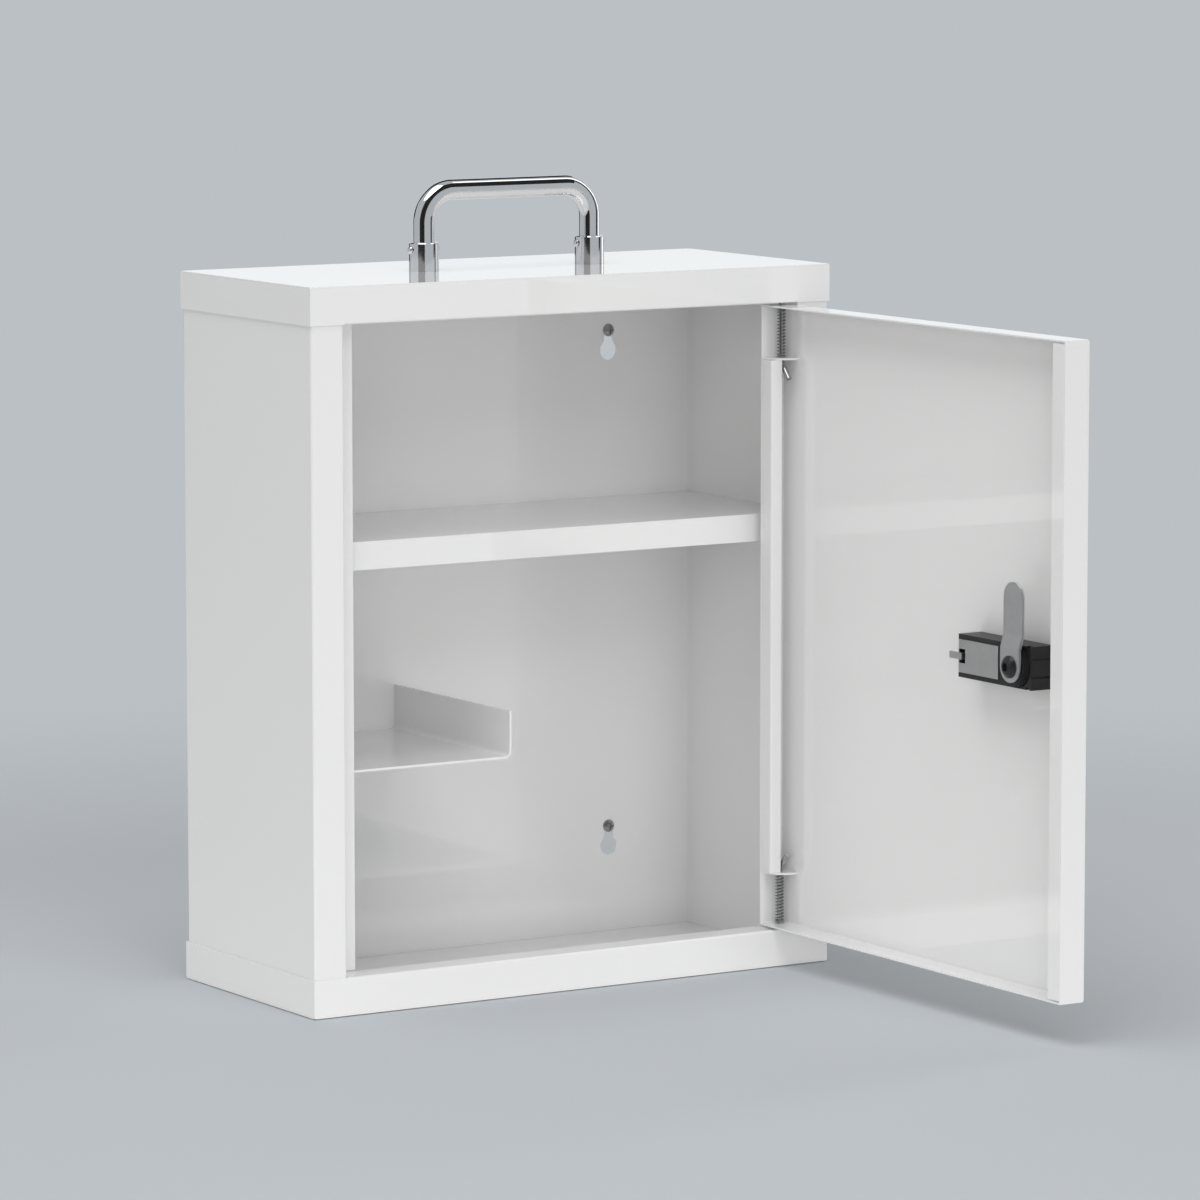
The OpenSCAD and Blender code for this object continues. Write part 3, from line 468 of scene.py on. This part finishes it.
def moulded_black(name, roughness, grain):
    """Black plastic or black oxide, with grain of the given size."""
    return finish_material(
        name, bpy.context.scene.cabinet_lock.black, roughness,
        dict(Patch_size=0.02, Color_drift=0.25, Roughness_drift=0.1, Fleck=0.12),
        ("Moulded grain", dict(Grain_size=grain, Depth=4 * MICRON)))


def marking():
    """Off-white paint of the figures and marks."""
    return finish_material(
        "White marking", bpy.context.scene.cabinet_lock.figure_colour, 0.5,
        dict(Patch_size=0.001, Color_drift=0.1, Roughness_drift=0.1, Fleck=0.1),
        ("Moulded grain", dict(Grain_size=0.0002, Depth=2 * MICRON)))


def dress(nodes, material):
    """Gives each of these CAD nodes the material."""
    for name in nodes:
        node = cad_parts[name]
        node.data.materials.clear()
        node.data.materials.append(material)


def soften(nodes, width):
    """Rounds the sharp edges of these CAD nodes a little, so that they catch the light."""
    for name in nodes:
        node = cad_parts[name]
        weld = node.modifiers.new("Weld", "WELD")
        weld.merge_threshold = WELD_REACH
        bevel = node.modifiers.new("Soft edges", "BEVEL")
        bevel.width = width
        bevel.segments = 2
        bevel.limit_method = "ANGLE"
        bevel.angle_limit = SHARP_FROM


# ---- small pieces -----------------------------------------------------------

def linked(name, data):
    """A new object in the scene with this mesh, text, lamp or camera."""
    piece = bpy.data.objects.new(name, data)
    bpy.context.scene.collection.objects.link(piece)
    return piece


def mesh_of(name, shape):
    """Turns a bmesh into a mesh and frees it."""
    mesh = bpy.data.meshes.new(name)
    bmesh.ops.recalc_face_normals(shape, faces=shape.faces)
    shape.to_mesh(mesh)
    shape.free()
    return mesh


def figure_shape(figure, height, relief):
    """One figure as a closed shape, x to the right, y up and z outwards."""
    text = bpy.data.curves.new("figure", "FONT")
    text.body = figure
    text.size = height / FIGURE_SHARE
    text.align_x = "CENTER"
    text.align_y = "CENTER"
    text.extrude = relief / 2
    text.resolution_u = 3
    holder = linked("figure", text)
    bpy.context.view_layer.update()
    depsgraph = bpy.context.evaluated_depsgraph_get()
    mesh = bpy.data.meshes.new_from_object(holder.evaluated_get(depsgraph))
    shape = bmesh.new()
    shape.from_mesh(mesh)
    bmesh.ops.remove_doubles(shape, verts=shape.verts, dist=1e-7)
    bmesh.ops.triangulate(shape, faces=shape.faces)
    long_edges = [e for e in shape.edges if e.calc_length() > height / 4]
    bmesh.ops.subdivide_edges(shape, edges=long_edges, cuts=2, use_grid_fill=True)
    bmesh.ops.triangulate(shape, faces=shape.faces)
    bpy.data.objects.remove(holder)
    bpy.data.curves.remove(text)
    bpy.data.meshes.remove(mesh)
    return shape


def wrap_on_wheel(shape, centre, radius, angle):
    """Lays a flat figure on a wheel that turns about Y, facing +X at angle 0."""
    for vert in shape.verts:
        right, up, out = vert.co
        turn = angle + up / radius
        reach = radius + out
        vert.co = centre + Vector((reach * math.cos(turn), right, reach * math.sin(turn)))


def add_bar(shape, low, high, edge):
    """A box with softened edges, from its lowest to its highest corner."""
    size = Vector(high) - Vector(low)
    made = bmesh.ops.create_cube(shape, size=1.0)["verts"]
    for vert in made:
        vert.co = Vector(low) + Vector((s * (c + 0.5) for s, c in zip(size, vert.co)))
    edges = list({e for v in made for e in v.link_edges})
    bmesh.ops.bevel(shape, geom=edges, offset=edge, segments=2, affect="EDGES", clamp_overlap=True)


def coil_line(radius, low, high, wire, turns, steps):
    """Middle line of a round-wire spring that stands on Z, with one closed turn at each end."""
    closed = 2 * wire
    rise = high - low - 2 * wire - 2 * closed
    points = []
    for step in range(steps * (turns + 2) + 1):
        turn = step / steps
        height = low + wire + closed * min(turn, 1.0)
        height += rise * min(max(turn - 1, 0) / turns, 1.0) + closed * max(turn - 1 - turns, 0)
        angle = math.tau * turn
        points.append(Vector((radius * math.cos(angle), radius * math.sin(angle), height)))
    return points


def wire_mesh(name, line, wire, sides):
    """A round wire along the line, with flat ends."""
    shape = bmesh.new()
    rings = []
    for place, point in enumerate(line):
        ahead = (line[min(place + 1, len(line) - 1)] - line[max(place - 1, 0)]).normalized()
        out = Vector((point.x, point.y, 0)).normalized()
        across = ahead.cross(out).normalized()
        rings.append([shape.verts.new(point + wire * (math.cos(a) * out + math.sin(a) * across))
                      for a in (math.tau * side / sides for side in range(sides))])
    for first, second in zip(rings, rings[1:]):
        for side in range(sides):
            after = (side + 1) % sides
            shape.faces.new((first[side], first[after], second[after], second[side])).smooth = True
    shape.faces.new(rings[0])
    shape.faces.new(rings[-1])
    return mesh_of(name, shape)


# ---- stage ------------------------------------------------------------------

def seen_mask(tree):
    """1 for the camera, for mirrors and for glass, and 0 for light on its way."""
    path = tree.nodes.new("ShaderNodeLightPath")
    seen = maths(tree, "MAXIMUM", path.outputs["Is Camera Ray"], path.outputs["Is Glossy Ray"])
    return maths(tree, "MAXIMUM", seen, path.outputs["Is Transmission Ray"])


def seen_colour(tree, colour, lit):
    """Shows colour to the camera, to mirrors and to glass, and lit to everything else."""
    flat = tree.nodes.new("ShaderNodeBackground")
    flat.inputs["Color"].default_value = (*colour, 1)
    flat.inputs["Strength"].default_value = 1.0
    mix = tree.nodes.new("ShaderNodeMixShader")
    join(tree, seen_mask(tree), mix.inputs["Fac"])
    join(tree, lit, mix.inputs[1])
    join(tree, flat.outputs["Background"], mix.inputs[2])
    return mix.outputs["Shader"]


def set_world(stage):
    """Even light from all sides, which the camera and mirrors see as the backdrop."""
    world = bpy.data.worlds.new("Studio")
    bpy.context.scene.world = world
    world.use_nodes = True
    tree = world.node_tree
    tree.nodes.clear()
    room = tree.nodes.new("ShaderNodeBackground")
    room.inputs["Color"].default_value = (*ROOM_TINT, 1)
    room.inputs["Strength"].default_value = stage.room
    out = tree.nodes.new("ShaderNodeOutputWorld")
    join(tree, seen_colour(tree, stage.backdrop, room.outputs["Background"]), out.inputs["Surface"])


def floor_material(stage):
    """Pale matt floor that fades into the backdrop towards its rim."""
    material = bpy.data.materials.new("Studio floor")
    material.use_nodes = True
    tree = material.node_tree
    shader = tree.nodes["Principled BSDF"]
    surface = place_group(tree, "Surface tone", Color=(*stage.floor, 1), Roughness=0.9,
                          Patch_size=0.3, Color_drift=0.004, Roughness_drift=0.02, Fleck=0.004)
    shade = tree.nodes.new("ShaderNodeMix")
    shade.data_type = "RGBA"
    shade.inputs["A"].default_value = (*stage.floor_bounce, 1)
    join(tree, seen_mask(tree), shade.inputs["Factor"])
    join(tree, surface.outputs["Color"], shade.inputs["B"])
    join(tree, shade.outputs["Result"], shader.inputs["Base Color"])
    join(tree, surface.outputs["Roughness"], shader.inputs["Roughness"])
    shader.inputs["Specular IOR Level"].default_value = 0.1
    reach = tree.nodes.new("ShaderNodeVectorMath")
    reach.operation = "LENGTH"
    join(tree, on_piece(tree), reach.inputs[0])
    fade = tree.nodes.new("ShaderNodeMapRange")
    fade.interpolation_type = "SMOOTHSTEP"
    fade.inputs["From Min"].default_value = stage.floor_radius * FADE_FROM
    fade.inputs["From Max"].default_value = stage.floor_radius * FADE_TO
    join(tree, reach.outputs["Value"], fade.inputs["Value"])
    clear = tree.nodes.new("ShaderNodeBsdfTransparent")
    mix = tree.nodes.new("ShaderNodeMixShader")
    join(tree, fade.outputs["Result"], mix.inputs["Fac"])
    join(tree, shader.outputs["BSDF"], mix.inputs[1])
    join(tree, clear.outputs["BSDF"], mix.inputs[2])
    join(tree, mix.outputs["Shader"], tree.nodes["Material Output"].inputs["Surface"])
    return material


def bearing(azimuth, elevation, distance):
    """A point seen from the handle; azimuth 0 is +X and 90 is +Y, in degrees."""
    low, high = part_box("handle_rod")
    a, e = math.radians(azimuth), math.radians(elevation)
    way = Vector((math.cos(a) * math.cos(e), math.sin(a) * math.cos(e), math.sin(e)))
    return (low + high) / 2 + distance * way


def mirrored_way(side, bend, turn):
    """The way that the handle's rod mirrors the camera.

    side is -1 at the left bend and 1 at the right one, bend runs from 0 at the leg to 1 at
    the bar, and turn goes round the rod, from 0 at its front to 90 at its outer side.
    """
    low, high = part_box("handle_rod")
    camera_place = Vector(bpy.context.scene.cabinet_stage.camera_place)
    to_camera = (camera_place - (low + high) / 2).normalized()
    b, t = math.radians(90 * bend), math.radians(turn)
    outward = Vector((side * math.cos(b), 0, math.sin(b)))
    normal = math.cos(t) * Vector((0, -1, 0)) + math.sin(t) * outward
    return 2 * normal.dot(to_camera) * normal - to_camera


def soft_lamp(name, place, width, height, power, mirrored=True):
    """A rectangular lamp that points at the cabinet and shows, if at all, only in reflections."""
    lamp = bpy.data.lights.new(name, "AREA")
    lamp.shape = "RECTANGLE"
    lamp.size = width
    lamp.size_y = height
    lamp.energy = power
    holder = linked(name, lamp)
    aim = Vector(LAMP_AIM) - Vector(place)
    holder.location = place
    holder.rotation_euler = aim.to_track_quat("-Z", "Y").to_euler()
    holder.visible_camera = False
    holder.visible_glossy = mirrored


def black_card_material():
    """Matt black of the cards."""
    material = bpy.data.materials.get("Black card")
    if not material:
        material = bpy.data.materials.new("Black card")
        material.use_nodes = True
        shader = material.node_tree.nodes["Principled BSDF"]
        shader.inputs["Base Color"].default_value = (0.02, 0.02, 0.02, 1)
        shader.inputs["Roughness"].default_value = 0.9
    return material


def dark_card(name, side, at_leg, at_bar, overrun=0.15, steps=16, columns=6):
    """A bent black card, set where the rod shows it as one dark line from leg to bar.

    at_leg and at_bar are the two turns round the rod between which the line lies there, and
    overrun is the share of the bend by which the card reaches past both ends.
    """
    low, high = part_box("handle_rod")
    shape = bmesh.new()
    rows = []
    for row in range(steps + 1):
        bend = (1 + 2 * overrun) * row / steps - overrun
        share = min(max(bend, 0), 1)
        turns = [at_leg[end] + (at_bar[end] - at_leg[end]) * share for end in (0, 1)]
        rows.append([])
        for column in range(columns + 1):
            turn = turns[0] + (turns[1] - turns[0]) * column / columns
            way = mirrored_way(side, bend, turn)
            rows[-1].append(shape.verts.new((low + high) / 2 + CARD_DISTANCE * way))
    for lower, upper in zip(rows, rows[1:]):
        for column in range(columns):
            shape.faces.new((lower[column], lower[column + 1], upper[column + 1], upper[column]))
    card = linked(name, mesh_of(name, shape))
    card.data.materials.append(black_card_material())
    card.visible_camera = False
    card.visible_diffuse = False
    card.visible_shadow = False
    card.visible_transmission = False


def set_camera(stage):
    """The camera of the picture: heading turns right from +Y, tilt is up, roll is clockwise."""
    heading, tilt, roll = stage.camera_heading, stage.camera_tilt, stage.camera_roll
    ahead = Vector((math.sin(heading) * math.cos(tilt), math.cos(heading) * math.cos(tilt),
                    math.sin(tilt)))
    level = Vector((math.cos(heading), -math.sin(heading), 0))
    above = level.cross(ahead)
    right = math.cos(roll) * level + math.sin(roll) * above
    up = math.cos(roll) * above - math.sin(roll) * level
    camera = linked("Camera", bpy.data.cameras.new("Camera"))
    camera.data.sensor_width = SENSOR_WIDTH
    camera.data.lens = stage.camera_lens
    camera.data.clip_end = 50
    turn = Matrix((right, up, -ahead)).transposed().to_4x4()
    camera.matrix_world = Matrix.Translation(Vector(stage.camera_place)) @ turn
    bpy.context.scene.camera = camera


# ---- operators --------------------------------------------------------------

class CABINET_OT_paint_case(Operator):
    """Paint the case, its caps, the shelf and the tray"""

    bl_idname = "cabinet.paint_case"
    bl_label = "Paint Case"

    def execute(self, context):
        dress(PAINTED_CASE, powder_coat())
        return {"FINISHED"}


class CABINET_OT_paint_door(Operator):
    """Paint the door and its gusset plates"""

    bl_idname = "cabinet.paint_door"
    bl_label = "Paint Door"

    def execute(self, context):
        dress(PAINTED_DOOR, powder_coat())
        return {"FINISHED"}


class CABINET_OT_plate_handle(Operator):
    """Plate the handle, its posts, pins, screws and washers"""

    bl_idname = "cabinet.plate_handle"
    bl_label = "Plate Handle"

    def execute(self, context):
        metal = context.scene.cabinet_metal
        dress(("handle_rod", "handle_pins"),
              chrome("Polished chrome", metal.chrome, 0.06, NO_LINES, 0.2 * MICRON))
        dress(("handle_post_left", "handle_post_right"),
              chrome("Satin chrome", metal.chrome, 0.1, (1, 1, 0.04), 1 * MICRON))
        dress(("handle_screws", "handle_washers"),
              bare_steel("Zinc plate", metal.zinc, 0.35, (1, 1, 0.2), 2 * MICRON))
        return {"FINISHED"}


class CABINET_OT_finish_hinges(Operator):
    """Finish the hinge pins, their collars and the wall screws"""

    bl_idname = "cabinet.finish_hinges"
    bl_label = "Finish Hinges"

    def execute(self, context):
        metal = context.scene.cabinet_metal
        dress(HINGE_PINS, chrome("Dull nickel", metal.nickel, 0.14, (1, 1, 0.05), 0.2 * MICRON))
        dress(("detent_spring",), spring_steel())
        dress(("wall_screws",),
              bare_steel("Dark zinc", metal.dark, 0.32, (1, 0.1, 1), 2 * MICRON))
        return {"FINISHED"}


class CABINET_OT_wind_springs(Operator):
    """Wind the two springs that push the hinge pins out"""

    bl_idname = "cabinet.wind_springs"
    bl_label = "Wind Springs"

    def execute(self, context):
        settings = context.scene.cabinet_spring
        for end, flip in (("lower", 1), ("upper", -1)):
            low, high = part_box(f"spring_{end}")
            centre = (low + high) / 2
            length = high.z - low.z
            radius = (high.x - low.x) / 2 - settings.wire
            line = coil_line(radius, -length / 2, length / 2, settings.wire,
                             settings.turns, COIL_STEPS)
            mesh = wire_mesh(f"coil_{end}", line, settings.wire, WIRE_SIDES)
            if flip < 0:
                mesh.transform(Matrix.Rotation(math.pi, 4, "X"))
            mesh.transform(Matrix.Translation(centre))
            piece = linked(f"coil_{end}", mesh)
            piece.data.materials.append(spring_steel())
            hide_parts(f"spring_{end}")
            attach(piece, "door")
            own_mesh(piece)
        return {"FINISHED"}


class CABINET_OT_finish_lock(Operator):
    """Finish the lock's housing, plates, wheels, knob and cam"""

    bl_idname = "cabinet.finish_lock"
    bl_label = "Finish Lock"

    def execute(self, context):
        metal = context.scene.cabinet_metal
        dress(("lock_housing", "lock_bezel", "lock_knob", "lock_ring_nut"),
              moulded_black("Moulded black", 0.42, 0.0005))
        dress(WHEELS, moulded_black("Smooth black", 0.22, 0.0009))
        dress(("cam_screw",), moulded_black("Black oxide", 0.3, 0.0003))
        dress(("lock_cam", "lock_back_plate", "reset_tab"),
              bare_steel("Stamped steel", metal.stamped, 0.36, (1, 1, 0.15), 1.5 * MICRON))
        soften(("lock_cam", "lock_back_plate", "reset_tab", "lock_housing"), LOCK_EDGE)
        dress(("dial_shaft", "lock_spindle", "key_plug"),
              bare_steel("Turned steel", metal.zinc, 0.28, (0.1, 1, 1), 2 * MICRON))
        return {"FINISHED"}


class CABINET_OT_add_figures(Operator):
    """Put the figures 0 to 9 round each number wheel"""

    bl_idname = "cabinet.add_figures"
    bl_label = "Add Figures"

    def execute(self, context):
        lock = context.scene.cabinet_lock
        shown = f"{lock.figures_shown:0{len(WHEELS)}d}"
        for place, name in enumerate(WHEELS):
            low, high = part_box(name)
            centre = (low + high) / 2
            radius = (high.x - low.x) / 2
            whole = bmesh.new()
            for figure in range(FIGURES):
                shape = figure_shape(str(figure), lock.figure_height, lock.figure_relief)
                turn = math.tau / FIGURES * (int(shown[place]) - figure)
                wrap_on_wheel(shape, centre, radius + FIGURE_LIFT * lock.figure_relief, turn)
                part = bpy.data.meshes.new("part")
                shape.to_mesh(part)
                shape.free()
                whole.from_mesh(part)
                bpy.data.meshes.remove(part)
            piece = linked(f"figures_{place + 1}", mesh_of(f"figures_{place + 1}", whole))
            piece.data.materials.append(marking())
            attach(piece, f"wheel_{place + 1}")
        return {"FINISHED"}


class CABINET_OT_add_marks(Operator):
    """Add the index marks beside the wheels and the pointer on the knob"""

    bl_idname = "cabinet.add_marks"
    bl_label = "Add Marks"

    def execute(self, context):
        relief = context.scene.cabinet_lock.figure_relief
        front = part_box("lock_knob")[0].x - KNOB_GAP
        axis_z = sum(c.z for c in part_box("dial_wheel_1")) / 2
        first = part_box(WHEELS[0])[1].y
        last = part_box(WHEELS[-1])[0].y
        marks = bmesh.new()
        for y in (first + MARK_GAP, last - MARK_GAP - MARK_LENGTH):
            add_bar(marks, (front - relief, y, axis_z - MARK_WIDTH / 2),
                    (front + relief, y + MARK_LENGTH, axis_z + MARK_WIDTH / 2), relief / 4)
        piece = linked("index_marks", mesh_of("index_marks", marks))
        piece.data.materials.append(marking())
        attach(piece, "door")
        low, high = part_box("lock_knob")
        middle = (low + high) / 2
        pointer = bmesh.new()
        add_bar(pointer, (high.x - relief, middle.y - POINTER_WIDTH / 2, high.z - POINTER_ENDS[0]),
                (high.x + relief, middle.y + POINTER_WIDTH / 2, high.z - POINTER_ENDS[1]),
                relief / 4)
        piece = linked("knob_pointer", mesh_of("knob_pointer", pointer))
        piece.data.materials.append(marking())
        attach(piece, "rotor")
        return {"FINISHED"}


class CABINET_OT_set_stage(Operator):
    """Make the floor, backdrop, lamps and camera"""

    bl_idname = "cabinet.set_stage"
    bl_label = "Set Stage"

    def execute(self, context):
        stage = context.scene.cabinet_stage
        context.scene.view_settings.view_transform = "Standard"
        set_world(stage)
        shape = bmesh.new()
        bmesh.ops.create_circle(shape, cap_ends=True, segments=96, radius=stage.floor_radius)
        floor = linked("studio_floor", mesh_of("studio_floor", shape))
        floor.location = FLOOR_PLACE
        floor.data.materials.append(floor_material(stage))
        soft_lamp("Overhead lamp", *OVERHEAD_LAMP, stage.overhead)
        soft_lamp("High front lamp", *HIGH_FRONT_LAMP, stage.high_front, mirrored=False)
        soft_lamp("Low lamp", *LOW_LAMP, stage.low_front, mirrored=False)
        soft_lamp("Side lamp", *SIDE_LAMP, stage.side_front, mirrored=False)
        way, width, height = REAR_LAMP
        soft_lamp("Rear lamp", bearing(**way), width, height, stage.rear)
        way, width, height = STRIP_LAMP
        soft_lamp("Strip lamp", bearing(**way), width, height, stage.strip)
        for name, (side, at_leg, at_bar) in DARK_LINES.items():
            dark_card(name, side, at_leg, at_bar)
        set_camera(stage)
        return {"FINISHED"}


# ---- panel and registration -------------------------------------------------

class CABINET_PT_sidebar(Panel):
    """Sizes, colours and the steps that dress the cabinet"""

    bl_idname = "CABINET_PT_sidebar"
    bl_label = "Medicine Cabinet"
    bl_space_type = "VIEW_3D"
    bl_region_type = "UI"
    bl_category = "Cabinet"

    def draw(self, context):
        for name in GROUPS:
            group = getattr(context.scene, name)
            box = self.layout.box()
            box.label(text=name.split("_")[1].title())
            for key in group.bl_rna.properties.keys():
                if key not in {"rna_type", "name"}:
                    box.prop(group, key)
        for step in STEPS:
            self.layout.operator(step.bl_idname)


STEPS = (
    CABINET_OT_set_stage,
    CABINET_OT_paint_case,
    CABINET_OT_paint_door,
    CABINET_OT_plate_handle,
    CABINET_OT_finish_hinges,
    CABINET_OT_wind_springs,
    CABINET_OT_finish_lock,
    CABINET_OT_add_figures,
    CABINET_OT_add_marks,
)
GROUPS = {
    "cabinet_paint": PaintSettings,
    "cabinet_metal": MetalSettings,
    "cabinet_spring": SpringSettings,
    "cabinet_lock": LockSettings,
    "cabinet_stage": StageSettings,
}


def register():
    """Adds the settings, the steps and the panel."""
    for cls in (*GROUPS.values(), *STEPS, CABINET_PT_sidebar):
        bpy.utils.register_class(cls)
    for name, cls in GROUPS.items():
        setattr(bpy.types.Scene, name, PointerProperty(type=cls))


def unregister():
    """Takes them out again."""
    for name in GROUPS:
        delattr(bpy.types.Scene, name)
    for cls in reversed((*GROUPS.values(), *STEPS, CABINET_PT_sidebar)):
        bpy.utils.unregister_class(cls)


def main():
    """Takes every step in turn."""
    register()
    for step in STEPS:
        family, name = step.bl_idname.split(".")
        getattr(getattr(bpy.ops, family), name)()


if __name__ == "__main__":
    main()
